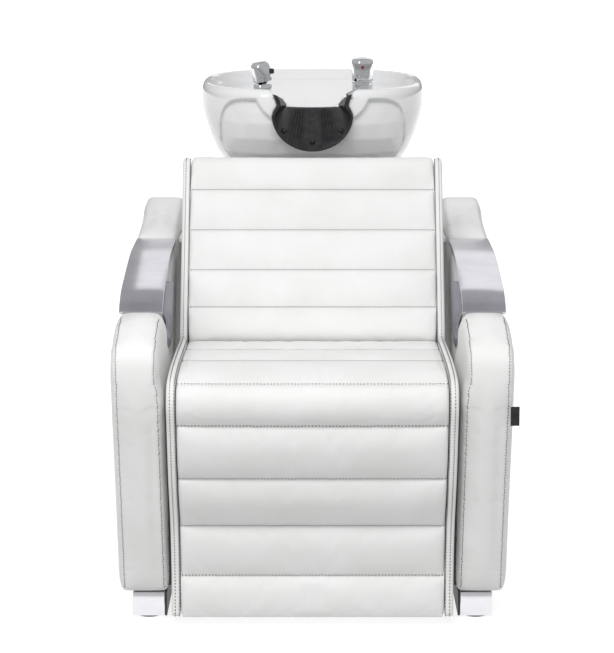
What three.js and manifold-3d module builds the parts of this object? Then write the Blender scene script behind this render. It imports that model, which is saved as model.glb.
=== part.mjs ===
// Shampoo backwash unit: an upholstered seat with a tilting ceramic basin behind its backrest.
// Millimetres, +Z up, +X to the sitter's left-hand arm, +Y from the knees towards the basin.
// "Station" is the distance behind the front of the knee roll; heights are above the floor.

import * as THREE from 'three';
import { mergeVertices } from 'three/addons/utils/BufferGeometryUtils.js';
import Module from 'manifold-3d';

const wasm = await Module();
wasm.setup();

// Overall
const LENGTH = 1300;
const WIDTH = 740;
const GAP = 0.4;                    // clearance between pieces that touch

// Side panels
const PANEL_THICK = 85;
const PANEL_OUTER = WIDTH / 2;
const PANEL_INNER = PANEL_OUTER - PANEL_THICK;
const PANEL_BOTTOM = 52;
const PANEL_REAR = 1120;
const PANEL_SOFTNESS = 11;          // rounding of the upholstered edges
const PLATE_THICK = 8;
const LINER_THICK = 3;

// Feet
const FOOT_SIZE = 62;
const FOOT_X = 317.5;
const FRONT_FOOT_STATION = 216;
const REAR_FOOT_STATION = 1062;
const GLIDE_HEIGHT = 4;
const PLINTH_THICK = 4;             // dark strip along the inside of the front and rear foot

// Pads
const PAD_HALF = 270;
const PAD_SOFTNESS = 12;
const BACK_CREASE = [495, 488];
const BACK_TOP = [697, 843];
const BACK_PAD_THICK = 70;
const BOARD_THICK = 14;

// Base frame
const TUBE = 40;
const RAIL_BOTTOM = 180;
const RAIL_TOP = RAIL_BOTTOM + TUBE;
const RAIL_FRONT = 176;
const RAIL_REAR = 1095;
const UPRIGHT_INNER = 246;
const UPRIGHT_OUTER = 266;

// Basin
const RIM_Z = 981;
const RIM_RISE = 0.012;             // the rim climbs a little towards the rear
const BASIN_BOTTOM = 778;
const BASIN_SQUARENESS = 2.7;
const DECK_Z = 957;                 // shelf inside the front rim that carries the taps
const NOTCH_FRONT = { station: 745, half: 87, floor: 850, spring: 924, horn: 966 };
const NOTCH_REAR = { station: 850, half: 64, floor: 925, spring: 950, horn: 955 };
const NECK_REST_THICK = 8;
const NECK_REST_GAP = 1;
const DRAIN_STATION = 1085;
const DRAIN_R = 22;

// Tilt mechanism
const PIVOT_STATION = 1000;
const PIVOT_Z = 745;
const PIN_R = 8;
const COLUMN_TOP = 700;

// Taps
const TAP_X = 106;
const TAP_STATION = 832;
const MIXER_TOP = 1040;

// Rear housing
const DECK_PLATE_Z = 655;
const DOOR_STATION = 1100;
const DOOR_THICK = 16;
const DOOR_HINGE = [-279, 1121];

const finish = (color, roughness, metalness) =>
  new THREE.MeshStandardMaterial({ color, roughness, metalness });
const LEATHER = finish(0xf2f1ee, 0.45, 0);
const PLY = finish(0xc9a878, 0.8, 0);
const FRAME_STEEL = finish(0x2c2d30, 0.55, 0.4);
const POLISHED = finish(0xb9b8bf, 0.18, 1);
const CHROME = finish(0xe2e3e6, 0.08, 1);
const CERAMIC = finish(0xf7f7f6, 0.1, 0);
const RUBBER = finish(0x151516, 0.5, 0);
const HOUSING = finish(0xe9e8e6, 0.4, 0);
const BRASS = finish(0xb08d4a, 0.3, 1);
const PIPE = finish(0xd9d9d6, 0.5, 0);

const unit = new THREE.Group();
const stations = new THREE.Group();
stations.position.y = -LENGTH / 2;
unit.add(stations);

function piece(name, geometry, material) {
  const mesh = new THREE.Mesh(geometry, material);
  mesh.name = name;
  stations.add(mesh);
}

// Booleans

function solid(geometry) {
  const bare = geometry.clone();
  bare.deleteAttribute('normal');
  bare.deleteAttribute('uv');
  const merged = mergeVertices(bare, 1e-4);
  return new wasm.Manifold(new wasm.Mesh({
    numProp: 3,
    vertProperties: Float32Array.from(merged.attributes.position.array),
    triVerts: Uint32Array.from(merged.index.array),
  }));
}

function geometryOf(manifold) {
  const mesh = manifold.getMesh();
  const geometry = new THREE.BufferGeometry();
  geometry.setAttribute('position', new THREE.BufferAttribute(mesh.vertProperties, 3));
  geometry.setIndex(new THREE.BufferAttribute(mesh.triVerts, 1));
  geometry.computeVertexNormals();
  return geometry;
}

function joined(...geometries) {
  return geometries.map(solid).reduce((whole, part) => whole.add(part));
}

// Basic shapes, placed by their lowest and highest corners or by their ends

function block([x0, s0, z0], [x1, s1, z1]) {
  const geometry = new THREE.BoxGeometry(x1 - x0, s1 - s0, z1 - z0);
  return geometry.translate((x0 + x1) / 2, (s0 + s1) / 2, (z0 + z1) / 2);
}

function rod(radius, from, to, sides = 20) {
  const start = new THREE.Vector3(...from);
  const along = new THREE.Vector3(...to).sub(start);
  const geometry = new THREE.CylinderGeometry(radius, radius, along.length(), sides);
  geometry.translate(0, along.length() / 2, 0);
  const up = new THREE.Vector3(0, 1, 0);
  geometry.applyQuaternion(new THREE.Quaternion().setFromUnitVectors(up, along.normalize()));
  return geometry.translate(...from);
}

// A lathed piece on a vertical axis; the profile is [radius, height] and closes on itself or the axis.
function turned(profile, x, station, sides = 24) {
  const points = profile.map(([radius, height]) => new THREE.Vector2(radius, height));
  const geometry = new THREE.LatheGeometry(points, sides);
  return geometry.rotateX(Math.PI / 2).translate(x, station, 0);
}

// A closed outline in [station, height, corner radius], run across the unit from x0 to x1.
function roundedOutline(corners) {
  const path = new THREE.Shape();
  corners.forEach(([s, z, radius], i) => {
    const here = new THREE.Vector2(s, z);
    const before = cornerPoint(corners, i - 1);
    const after = cornerPoint(corners, i + 1);
    const start = stepTowards(here, before, radius);
    const end = stepTowards(here, after, radius);
    if (i === 0) path.moveTo(start.x, start.y);
    else path.lineTo(start.x, start.y);
    if (radius > 0) path.quadraticCurveTo(s, z, end.x, end.y);
  });
  path.closePath();
  return path;
}

function cornerPoint(corners, i) {
  const [s, z] = corners[(i + corners.length) % corners.length];
  return new THREE.Vector2(s, z);
}

function stepTowards(from, to, distance) {
  return to.clone().sub(from).setLength(Math.min(distance, from.distanceTo(to) * 0.49)).add(from);
}

function acrossUnit(shape, x0, x1, softness = 0, curveSegments = 4) {
  const geometry = new THREE.ExtrudeGeometry(shape, {
    depth: x1 - x0 - 2 * softness,
    bevelEnabled: softness > 0,
    bevelThickness: softness,
    bevelSize: softness,
    bevelOffset: -softness,
    bevelSegments: 2,
    curveSegments,
  });
  const stationHeightAcross = new THREE.Matrix4().makeBasis(
    new THREE.Vector3(0, 1, 0), new THREE.Vector3(0, 0, 1), new THREE.Vector3(1, 0, 0));
  return geometry.applyMatrix4(stationHeightAcross).translate(x0 + softness, 0, 0);
}

// A closed skin over matching rings of points, with both ends capped.
function loft(rings, capOutline) {
  const count = rings[0].length;
  const indices = [];
  for (let level = 0; level + 1 < rings.length; level += 1) {
    for (let i = 0; i < count; i += 1) {
      const a = level * count + i;
      const b = level * count + (i + 1) % count;
      indices.push(a, b, b + count, a, b + count, a + count);
    }
  }
  const last = (rings.length - 1) * count;
  for (const [a, b, c] of THREE.ShapeUtils.triangulateShape(capOutline, [])) {
    indices.push(c, b, a, last + a, last + b, last + c);
  }
  const geometry = new THREE.BufferGeometry().setFromPoints(rings.flat());
  geometry.setIndex(indices);
  return geometry;
}

// Upholstery

const backLength = Math.hypot(BACK_TOP[0] - BACK_CREASE[0], BACK_TOP[1] - BACK_CREASE[1]);
const backUp = [(BACK_TOP[0] - BACK_CREASE[0]) / backLength, (BACK_TOP[1] - BACK_CREASE[1]) / backLength];

// A point of the reclined back: "along" its face from the crease and "behind" the face.
function backPoint(along, behind) {
  const station = BACK_CREASE[0] + along * backUp[0] + behind * backUp[1];
  const height = BACK_CREASE[1] + along * backUp[1] - behind * backUp[0];
  return [station, height];
}

function backSlab(alongFrom, alongTo, behindFrom, behindTo, radius) {
  return roundedOutline([
    [...backPoint(alongFrom, behindFrom), radius],
    [...backPoint(alongFrom, behindTo), radius / 2],
    [...backPoint(alongTo, behindTo), radius / 2],
    [...backPoint(alongTo, behindFrom), radius],
  ]);
}

const SEAT_SLOPE = 0.069;           // the seat drops towards the backrest
const SEAT_REAR = 490;
const seatUnderside = (station) => 439 - SEAT_SLOPE * station;
const frontPanelBack = (height) => 196 - 0.27 * (height - 30);

function seatPadOutline() {
  const top = [[124, 26], [131, 100], [108, 205], [53, 307], [16, 410], [0, 457], [14, 489], [55, 500],
    [150, 501], [300, 493], [SEAT_REAR, 476]];
  const shape = new THREE.Shape();
  shape.moveTo(...top[0]);
  shape.splineThru(top.slice(1).map(([s, z]) => new THREE.Vector2(s, z)));
  shape.lineTo(SEAT_REAR, seatUnderside(SEAT_REAR));
  shape.lineTo(100, seatUnderside(100));
  shape.lineTo(frontPanelBack(415), 415);
  shape.lineTo(frontPanelBack(26), 26);
  shape.closePath();
  return shape;
}

function addPads() {
  piece('seat_pad', acrossUnit(seatPadOutline(), -PAD_HALF, PAD_HALF, PAD_SOFTNESS, 3), LEATHER);
  const back = backSlab(0, backLength, 0, BACK_PAD_THICK, 30);
  piece('backrest_pad', acrossUnit(back, -PAD_HALF, PAD_HALF, PAD_SOFTNESS), LEATHER);
}

function addBoards() {
  const half = PAD_HALF - 12;
  const below = GAP + BOARD_THICK;
  const seat = roundedOutline([
    [102, seatUnderside(102) - GAP, 0],
    [SEAT_REAR, seatUnderside(SEAT_REAR) - GAP, 0],
    [SEAT_REAR, seatUnderside(SEAT_REAR) - below, 0],
    [102, seatUnderside(102) - below, 0],
  ]);
  const front = roundedOutline([
    [frontPanelBack(40) + GAP, 40, 0],
    [frontPanelBack(410) + GAP, 410, 0],
    [frontPanelBack(410) + below, 410, 0],
    [frontPanelBack(40) + below, 40, 0],
  ]);
  const back = backSlab(8, backLength - 6, BACK_PAD_THICK + GAP, BACK_PAD_THICK + below, 0);
  piece('seat_board', acrossUnit(seat, -half, half), PLY);
  piece('front_board', acrossUnit(front, -half, half), PLY);
  piece('back_board', acrossUnit(back, -half, half), PLY);
}

// Side panels: the armrest opening is cut from the top and the plate bridges it.

const OPENING = [
  [234, 590, 20], [322, 566, 40], [366, 545, 18], [370, 512, 30], [430, 483, 30],
  [530, 484, 40], [585, 514, 30], [614, 556, 50], [664, 648, 0],
];

function panelOutline() {
  return roundedOutline([
    [172, PANEL_BOTTOM, 16],
    [12, 486, 60],
    [10, 556, 34],
    [140, 591, 40],
    ...OPENING,
    [762, 651, 0],
    [770, 674, 0],
    [940, 692, 60],
    [1010, 712, 60],
    [PANEL_REAR, 716, 62],
    [PANEL_REAR, PANEL_BOTTOM, 20],
  ]);
}

function plateTop() {
  return new THREE.SplineCurve([[241, 596], [262, 612], [309, 627], [405, 642], [470, 651], [577, 662], [752, 664]]
    .map(([s, z]) => new THREE.Vector2(s, z))).getSpacedPoints(14);
}

// A strip of even thickness on the left of the line of points.
function stripBeside(points, offset, thickness) {
  const side = (distance) => points.map((point, i) => {
    const before = points[Math.max(i - 1, 0)];
    const after = points[Math.min(i + 1, points.length - 1)];
    const normal = after.clone().sub(before).normalize();
    return new THREE.Vector2(point.x - normal.y * distance, point.y + normal.x * distance);
  });
  return new THREE.Shape([...side(offset), ...side(offset + thickness).reverse()]);
}

function openingLine() {
  const line = new THREE.Path();
  const last = OPENING.length - 1;
  const lip = stepTowards(cornerPoint(OPENING, 0), cornerPoint(OPENING, 1), 24);
  const end = stepTowards(cornerPoint(OPENING, last), cornerPoint(OPENING, last - 1), 9);
  line.moveTo(lip.x, lip.y);
  OPENING.slice(1, -1).forEach(([s, z, radius], i) => {
    const here = new THREE.Vector2(s, z);
    const before = stepTowards(here, cornerPoint(OPENING, i), radius);
    const after = stepTowards(here, cornerPoint(OPENING, i + 2), radius);
    line.lineTo(before.x, before.y);
    line.quadraticCurveTo(s, z, after.x, after.y);
  });
  line.lineTo(end.x, end.y);
  return line.getPoints(3);
}

function addSide(side, x0, x1) {
  piece(`arm_${side}`, acrossUnit(panelOutline(), x0, x1, PANEL_SOFTNESS, 3), LEATHER);
  const plate = stripBeside(plateTop(), -PLATE_THICK, PLATE_THICK);
  piece(`armrest_plate_${side}`, acrossUnit(plate, x0 + 1, x1 - 1), POLISHED);
  const liner = stripBeside(openingLine(), 0.6, LINER_THICK);
  piece(`opening_liner_${side}`, acrossUnit(liner, x0 + 6, x1 - 6), POLISHED);
}

function addFeet() {
  const half = FOOT_SIZE / 2;
  for (const [side, x] of [['left', -FOOT_X], ['right', FOOT_X]]) {
    for (const [end, station] of [['front', FRONT_FOOT_STATION], ['rear', REAR_FOOT_STATION]]) {
      const low = [x - half, station - half, GLIDE_HEIGHT + GAP];
      const high = [x + half, station + half, PANEL_BOTTOM - GAP];
      piece(`foot_${end}_${side}`, block(low, high), CHROME);
      piece(`glide_${end}_${side}`, rod(24, [x, station, 0], [x, station, GLIDE_HEIGHT]), RUBBER);
    }
    const edges = [half + GAP, half + GAP + PLINTH_THICK].map((inwards) => x - Math.sign(x) * inwards);
    const from = [Math.min(...edges), FRONT_FOOT_STATION - half + 1, GLIDE_HEIGHT + GAP];
    const to = [Math.max(...edges), REAR_FOOT_STATION + half - 1, PANEL_BOTTOM - GAP];
    piece(`plinth_${side}`, block(from, to), FRAME_STEEL);
  }
}

// Base frame

function addFrame() {
  const railInner = PANEL_INNER - GAP - TUBE;
  const crossHalf = railInner - GAP;
  for (const [side, x0] of [['left', -PANEL_INNER + GAP], ['right', railInner]]) {
    const rail = block([x0, RAIL_FRONT, RAIL_BOTTOM], [x0 + TUBE, RAIL_REAR, RAIL_TOP]);
    piece(`side_rail_${side}`, rail, FRAME_STEEL);
    const upright = backSlab(-236, 225, 84.8, 112, 0);
    const span = side === 'left' ? [-UPRIGHT_OUTER, -UPRIGHT_INNER] : [UPRIGHT_INNER, UPRIGHT_OUTER];
    piece(`back_upright_${side}`, acrossUnit(upright, ...span), FRAME_STEEL);
  }
  for (const [name, station] of [['front_crossbar', RAIL_FRONT], ['middle_crossbar', 418]]) {
    const bar = block([-crossHalf, station, RAIL_BOTTOM], [crossHalf, station + TUBE, RAIL_TOP]);
    piece(name, bar, FRAME_STEEL);
  }
  for (const [name, station] of [['front_bulkhead', 184], ['rear_bulkhead', 428]]) {
    const top = seatUnderside(station + BOARD_THICK) - BOARD_THICK - 2 * GAP;
    const sheet = block([-crossHalf + 4, station, RAIL_TOP + GAP], [crossHalf - 4, station + BOARD_THICK, top]);
    piece(name, sheet, PLY);
  }
}

function addPedestal() {
  const halfColumn = 35;
  const near = PIVOT_STATION - halfColumn;
  const far = PIVOT_STATION + halfColumn;
  const plateTopZ = RAIL_TOP + 10;
  const reach = PANEL_INNER - GAP;
  piece('pedestal_plate', block([-reach, near - 30, RAIL_TOP + GAP], [reach, far + 5, plateTopZ]), FRAME_STEEL);
  piece('pedestal_column', block([-40, near, plateTopZ + GAP], [40, far, COLUMN_TOP]), FRAME_STEEL);

  const base = COLUMN_TOP + GAP;
  const ears = [-79, 71].map((x) => block([x, near + 8, base + 4], [x + 8, far - 8, PIVOT_Z + 17]));
  const bored = rod(PIN_R + 0.4, [-100, PIVOT_STATION, PIVOT_Z], [100, PIVOT_STATION, PIVOT_Z]);
  const yoke = joined(block([-79, near, base], [79, far, base + 8]), ...ears).subtract(solid(bored));
  piece('tilt_yoke', geometryOf(yoke), FRAME_STEEL);
  const pin = rod(PIN_R, [-86, PIVOT_STATION, PIVOT_Z], [86, PIVOT_STATION, PIVOT_Z]);
  piece('tilt_pin', pin, CHROME);

  const hub = rod(16, [86 + GAP, PIVOT_STATION, PIVOT_Z], [98, PIVOT_STATION, PIVOT_Z]);
  const arm = rod(5, [92, PIVOT_STATION, PIVOT_Z], [112, PIVOT_STATION + 48, PIVOT_Z - 42], 12);
  const knob = new THREE.SphereGeometry(11, 14, 8).translate(112, PIVOT_STATION + 48, PIVOT_Z - 42);
  piece('tilt_lock_lever', geometryOf(joined(hub, arm, knob)), RUBBER);
}

function addCarrier() {
  const ears = [-66, 58].map((x) => block([x, PIVOT_STATION - 22, PIVOT_Z - 15], [x + 8, PIVOT_STATION + 22, 775]));
  const plate = block([-130, 905, 771], [130, 1135, 777]);
  const drain = rod(27, [0, DRAIN_STATION, 760], [0, DRAIN_STATION, 790]);
  const bored = rod(PIN_R + 0.4, [-100, PIVOT_STATION, PIVOT_Z], [100, PIVOT_STATION, PIVOT_Z]);
  const carrier = joined(plate, ...ears).subtract(solid(drain)).subtract(solid(bored));
  piece('bowl_carrier', geometryOf(carrier), FRAME_STEEL);
}

// Basin: horizontal rings of [height, half width, front station, rear station]

const OUTER_RINGS = [
  [778, 130, 900, 1130], [783, 150, 880, 1150], [795, 178, 852, 1184], [815, 198, 818, 1216],
  [838, 212, 790, 1242], [872, 226, 764, 1270], [907, 237, 749, 1290], [924, 242, 746, 1296],
  [965, 243, 745, 1300], [977, 238, 750, 1295], [RIM_Z, 231, 757, 1288],
];
const SHELF_RINGS = [[DECK_Z, 214, 776, 1272], [965, 221, 767, 1280], [1010, 223, 765, 1282]];
const HOLLOW_RINGS = [
  [803, 55, 1030, 1140], [812, 115, 985, 1168], [840, 165, 925, 1200], [880, 193, 885, 1228],
  [925, 210, 862, 1256], [950, 214, 856, 1272], [1010, 216, 854, 1274],
];

function basinRing([height, half, front, rear], sides) {
  const ring = [];
  const power = 2 / BASIN_SQUARENESS;
  for (let i = 0; i < sides; i += 1) {
    const angle = (i / sides) * 2 * Math.PI;
    const across = Math.sign(Math.cos(angle)) * Math.abs(Math.cos(angle)) ** power;
    const along = Math.sign(Math.sin(angle)) * Math.abs(Math.sin(angle)) ** power;
    const station = (front + rear) / 2 + along * (rear - front) / 2;
    const share = (height - BASIN_BOTTOM) / (RIM_Z - BASIN_BOTTOM);
    const rise = RIM_RISE * (station - PIVOT_STATION) * share;
    ring.push(new THREE.Vector3(across * half, station, height + rise));
  }
  return ring;
}

function basinShell(rows, sides) {
  const rings = rows.map((row) => basinRing(row, sides));
  return loft(rings, rings[0].map((point) => new THREE.Vector2(point.x, point.y)));
}

// The neck notch at a station: its inner half width, floor and side height, less an inset.
function notchAt(station, inset) {
  const t = (station - NOTCH_FRONT.station) / (NOTCH_REAR.station - NOTCH_FRONT.station);
  const mix = (key) => THREE.MathUtils.lerp(NOTCH_FRONT[key], NOTCH_REAR[key], t);
  return { half: mix('half') - inset, floor: mix('floor') + inset, spring: mix('spring'), horn: mix('horn') };
}

// A point of the notch's arch; angle 0 is the right-hand spring and PI the left-hand one.
function notchPoint(angle, station, inset) {
  const { half, floor, spring } = notchAt(station, inset);
  return new THREE.Vector3(half * Math.cos(angle), station, spring - (spring - floor) * Math.sin(angle));
}

function notchCurve(station, inset, top) {
  const { half } = notchAt(station, inset);
  const points = [new THREE.Vector3(half, station, top)];
  for (let i = 0; i <= 14; i += 1) points.push(notchPoint((i / 14) * Math.PI, station, inset));
  points.push(new THREE.Vector3(-half, station, top));
  return points;
}

// Rings that stand upright and follow each other towards the rear; each runs clockwise from the front.
function crossLoft(rings) {
  return loft(rings, rings[0].map((point) => new THREE.Vector2(-point.x, point.z)));
}

function addBasin() {
  let basin = solid(basinShell(OUTER_RINGS, 40));
  basin = basin.subtract(solid(basinShell(SHELF_RINGS, 40)));
  basin = basin.subtract(solid(basinShell(HOLLOW_RINGS, 40)));
  const notch = crossLoft([700, 745, 800, 852, 880].map((station) => notchCurve(station, 0, 1030)));
  basin = basin.subtract(solid(notch));
  for (const x of [-142, 142]) {
    const dish = new THREE.SphereGeometry(1, 20, 12).scale(72, 52, 110).translate(x, 735, 850);
    basin = basin.subtract(solid(dish));
  }
  basin = basin.subtract(solid(rod(DRAIN_R, [0, DRAIN_STATION, 760], [0, DRAIN_STATION, 830])));
  piece('bowl_basin', geometryOf(basin), CERAMIC);
}

function neckRestRing(station) {
  const { horn } = notchAt(station, 0);
  const outer = notchCurve(station, NECK_REST_GAP, horn);
  const inner = notchCurve(station, NECK_REST_GAP + NECK_REST_THICK, horn).reverse();
  return [...outer, ...inner];
}

function addNeckRest() {
  piece('neck_rest', crossLoft([742, 778, 814, 849].map(neckRestRing)), RUBBER);
  const station = 756;
  const surface = NECK_REST_GAP + NECK_REST_THICK;
  for (const [name, angle] of [['left', 0.80 * Math.PI], ['centre', 0.5 * Math.PI], ['right', 0.20 * Math.PI]]) {
    const seat = notchPoint(angle, station, surface);
    const round = notchPoint(angle + 0.02, station, surface).sub(notchPoint(angle - 0.02, station, surface));
    const back = notchPoint(angle, station + 2, surface).sub(seat);
    const inward = back.cross(round).normalize();
    const foot = seat.clone().addScaledVector(inward, 3 * GAP);
    const tip = seat.clone().addScaledVector(inward, 6);
    piece(`neck_stud_${name}`, rod(5.5, foot.toArray(), tip.toArray(), 12), RUBBER);
  }
}

// Waste

function addWaste() {
  const flange = turned([[17, 778], [21.2, 778], [21.2, 803.6], [30, 803.6], [29, 806.4], [17, 806.4], [17, 778]],
    0, DRAIN_STATION);
  piece('drain_flange', flange, CHROME);
  const strainer = turned([[0, 784], [15, 784], [15, 807], [21, 807], [20, 810], [5, 811], [0, 816]],
    0, DRAIN_STATION, 18);
  piece('drain_strainer', strainer, CHROME);
  const tail = turned([[15, 705], [19, 705], [19, 777.4], [15, 777.4], [15, 705]], 0, DRAIN_STATION);
  piece('drain_tailpiece', tail, PIPE);
  const pipeStation = 1068;
  const pipe = turned([[21, 60], [25, 60], [25, 600], [21, 600], [21, 60]], 0, pipeStation);
  piece('waste_pipe', pipe, PIPE);
  const clampBody = block([-32, PIVOT_STATION + 35 + GAP, 300], [32, pipeStation + 4, 322]);
  const hole = rod(25.4, [0, pipeStation, 290], [0, pipeStation, 330]);
  piece('waste_clamp', geometryOf(solid(clampBody).subtract(solid(hole))), FRAME_STEEL);
}

function addValves() {
  const bracketFront = PIVOT_STATION + 35 + GAP;
  piece('valve_bracket', block([-120, bracketFront, 470], [120, bracketFront + 4, 510]), FRAME_STEEL);
  const valveStation = bracketFront + 4 + GAP + 12;
  for (const [name, x] of [['hot', -95], ['cold', 95]]) {
    const tube = rod(12, [x, valveStation, 450], [x, valveStation, 535]);
    const neck = rod(7, [x, valveStation, 492], [x, valveStation + 18, 492]);
    piece(`valve_body_${name}`, geometryOf(joined(tube, neck)), BRASS);
    const turn = valveStation + 18 + GAP;
    const hub = rod(10, [x, turn, 492], [x, turn + 8, 492]);
    const tab = block([x - 6, turn + 1, 480], [x + 6, turn + 7, 530]);
    piece(`valve_handle_${name}`, geometryOf(joined(hub, tab)), RUBBER);
  }
}

// Taps on the shelf inside the front rim

function addMixer() {
  const body = turned([[0, DECK_Z + GAP], [24, DECK_Z + GAP], [24, 961], [21, 963], [21, 976], [0, 976]],
    TAP_X, TAP_STATION);
  const outlet = rod(5, [TAP_X - 14, TAP_STATION - 8, 970], [TAP_X - 33, TAP_STATION - 20, 962], 12);
  piece('mixer_body', geometryOf(joined(body, outlet)), CHROME);
  const collar = turned([[0, 976.6], [22, 976.6], [22, 988], [8, 988], [8, 1018], [0, 1018]],
    TAP_X, TAP_STATION);
  piece('mixer_collar', collar, CHROME);
  const cap = turned([[0, MIXER_TOP - 5], [10, MIXER_TOP - 5], [18, 1029], [18, 991], [23, 991], [23, 1030],
    [20, 1037], [12, MIXER_TOP], [0, MIXER_TOP]], TAP_X, TAP_STATION);
  piece('mixer_handle', cap, CHROME);
}

function addHandShower() {
  const foot = DECK_Z + GAP;
  const holder = turned([[13, foot], [23, foot], [23, 961], [18, 964], [18, 984], [13, 984], [13, foot]],
    -TAP_X, TAP_STATION);
  piece('shower_holder', holder, CHROME);
  const lean = new THREE.Vector3(-0.16, 0, 1).normalize();
  const at = (distance) => [-TAP_X + lean.x * distance, TAP_STATION, 989 + lean.z * distance];
  const head = joined(rod(20, at(0), at(38), 24), rod(16, at(30), at(43), 24), rod(8, at(-26), at(6), 16));
  const seat = rod(6.2, [-TAP_X + 12, TAP_STATION, 1012], [-TAP_X + 40, TAP_STATION, 1012], 14);
  piece('hand_shower', geometryOf(head.subtract(solid(seat))), CHROME);
  const button = rod(5.6, [-TAP_X + 16.5, TAP_STATION, 1012], [-TAP_X + 22.5, TAP_STATION, 1012], 14);
  piece('shower_button', button, RUBBER);
}

// Rear housing

function addHousing() {
  const reach = PANEL_INNER - GAP - 1.6;
  const plate = block([-reach, 764, DECK_PLATE_Z], [reach, DOOR_STATION - 2, DECK_PLATE_Z + 8]);
  const slot = block([-72, 945, DECK_PLATE_Z - 10], [72, DOOR_STATION - 12, DECK_PLATE_Z + 20]);
  piece('service_deck', geometryOf(solid(plate).subtract(solid(slot))), HOUSING);

  const top = 690;
  const [hingeX, hingeStation] = DOOR_HINGE;
  const door = block([-reach, DOOR_STATION, 64], [reach, DOOR_STATION + DOOR_THICK, top]);
  piece('rear_door', door, HOUSING);
  piece('door_hinge_barrel', rod(4, [hingeX, hingeStation, 90], [hingeX, hingeStation, top - 26], 14), CHROME);
  const latchX = 240;
  const outside = DOOR_STATION + DOOR_THICK + GAP;
  const hub = rod(14, [latchX, outside, 400], [latchX, outside + 8, 400]);
  const bar = block([latchX - 5, outside + 2, 380], [latchX + 5, outside + 14, 420]);
  piece('door_latch', geometryOf(joined(hub, bar)), CHROME);
}

addPads();
addBoards();
addSide('left', -PANEL_OUTER, -PANEL_INNER);
addSide('right', PANEL_INNER, PANEL_OUTER);
addFeet();
addFrame();
addPedestal();
addCarrier();
addBasin();
addNeckRest();
addWaste();
addValves();
addMixer();
addHandShower();
addHousing();

export default unit;
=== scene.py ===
"""Shampoo backwash unit: upholstery, ceramic basin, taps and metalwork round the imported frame.

Metres, +Z up, +Y from the knees towards the basin. A "station" is the distance behind the front
of the knee roll, so station 0 is the front of the unit.
"""
import math
import bmesh
import bpy
import numpy as np
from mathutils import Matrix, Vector
from mathutils.bvhtree import BVHTree


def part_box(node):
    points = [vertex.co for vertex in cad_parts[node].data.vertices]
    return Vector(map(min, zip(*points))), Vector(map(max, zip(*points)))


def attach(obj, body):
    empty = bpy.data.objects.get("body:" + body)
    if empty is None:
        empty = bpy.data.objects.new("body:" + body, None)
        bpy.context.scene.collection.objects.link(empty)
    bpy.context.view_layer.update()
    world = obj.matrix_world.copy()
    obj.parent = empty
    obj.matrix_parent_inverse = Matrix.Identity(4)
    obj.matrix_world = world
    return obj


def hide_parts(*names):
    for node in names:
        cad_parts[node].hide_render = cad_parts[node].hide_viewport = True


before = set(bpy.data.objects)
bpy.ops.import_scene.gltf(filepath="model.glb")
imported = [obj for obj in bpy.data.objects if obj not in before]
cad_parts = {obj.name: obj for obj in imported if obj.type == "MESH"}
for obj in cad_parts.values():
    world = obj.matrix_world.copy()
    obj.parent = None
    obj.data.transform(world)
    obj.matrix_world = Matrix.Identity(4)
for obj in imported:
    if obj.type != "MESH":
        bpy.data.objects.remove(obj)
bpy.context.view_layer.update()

FRONT_Y = -0.65                     # where station 0 lies
PANEL_IN, PANEL_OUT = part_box("arm_right")[0].x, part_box("arm_right")[1].x


# ---------------------------------------------------------------- camera, light and floor

def add_camera():
    data = bpy.data.cameras.new("camera")
    data.lens = 137.8
    data.sensor_width = 36.0
    data.shift_x = -0.0084
    data.clip_end = 100
    camera = bpy.data.objects.new("camera", data)
    camera.location = (0, FRONT_Y - 4.497, 1.4)
    camera.rotation_euler = (math.radians(80), 0, 0)
    bpy.context.collection.objects.link(camera)
    bpy.context.scene.camera = camera


def add_area_light(name, location, target, size, power, mirrored=True):
    data = bpy.data.lights.new(name, "AREA")
    data.shape = "RECTANGLE"
    data.size, data.size_y = size
    data.energy = power
    light = bpy.data.objects.new(name, data)
    light.location = location
    light.visible_glossy = mirrored
    aim = Vector(target) - Vector(location)
    light.rotation_euler = aim.to_track_quat("-Z", "Y").to_euler()
    bpy.context.collection.objects.link(light)


def add_lights():
    middle = (0, 0, 0.5)
    add_area_light("key", (-0.3, -3.2, 3.2), middle, (2.4, 1.2), 94, mirrored=False)
    add_area_light("window", (-1.9, -2.6, 2.6), middle, (0.5, 1.2), 8)
    add_area_light("top", (0.3, 0.7, 3.6), middle, (2.2, 1.6), 6, mirrored=False)
    add_area_light("back", (0.4, 3.2, 2.2), middle, (2.4, 1.6), 8)


def add_world():
    world = bpy.data.worlds.new("studio")
    bpy.context.scene.world = world
    world.use_nodes = True
    nodes, links = world.node_tree.nodes, world.node_tree.links
    background = nodes["Background"]
    direction = nodes.new("ShaderNodeTexCoord")
    split = nodes.new("ShaderNodeSeparateXYZ")
    ramp = nodes.new("ShaderNodeValToRGB")
    stops = ramp.color_ramp.elements
    stops[0].position, stops[0].color = 0.0, (0.92, 0.92, 0.92, 1)
    stops[1].position, stops[1].color = 1.0, (0.50, 0.50, 0.51, 1)
    levels = ((0.46, 0.62), (0.50, 0.34), (0.57, 0.60), (0.66, 0.60), (0.80, 0.60), (0.90, 0.66))
    for position, level in levels:
        stops.new(position).color = (level, level, level * 1.02, 1)
    lift = nodes.new("ShaderNodeMath")
    lift.operation = "MULTIPLY_ADD"
    lift.inputs[1].default_value = 0.5
    lift.inputs[2].default_value = 0.5
    links.new(direction.outputs["Generated"], split.inputs[0])
    links.new(split.outputs["Z"], lift.inputs[0])
    links.new(lift.outputs[0], ramp.inputs[0])
    links.new(ramp.outputs[0], background.inputs["Color"])
    background.inputs["Strength"].default_value = 0.76


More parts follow.
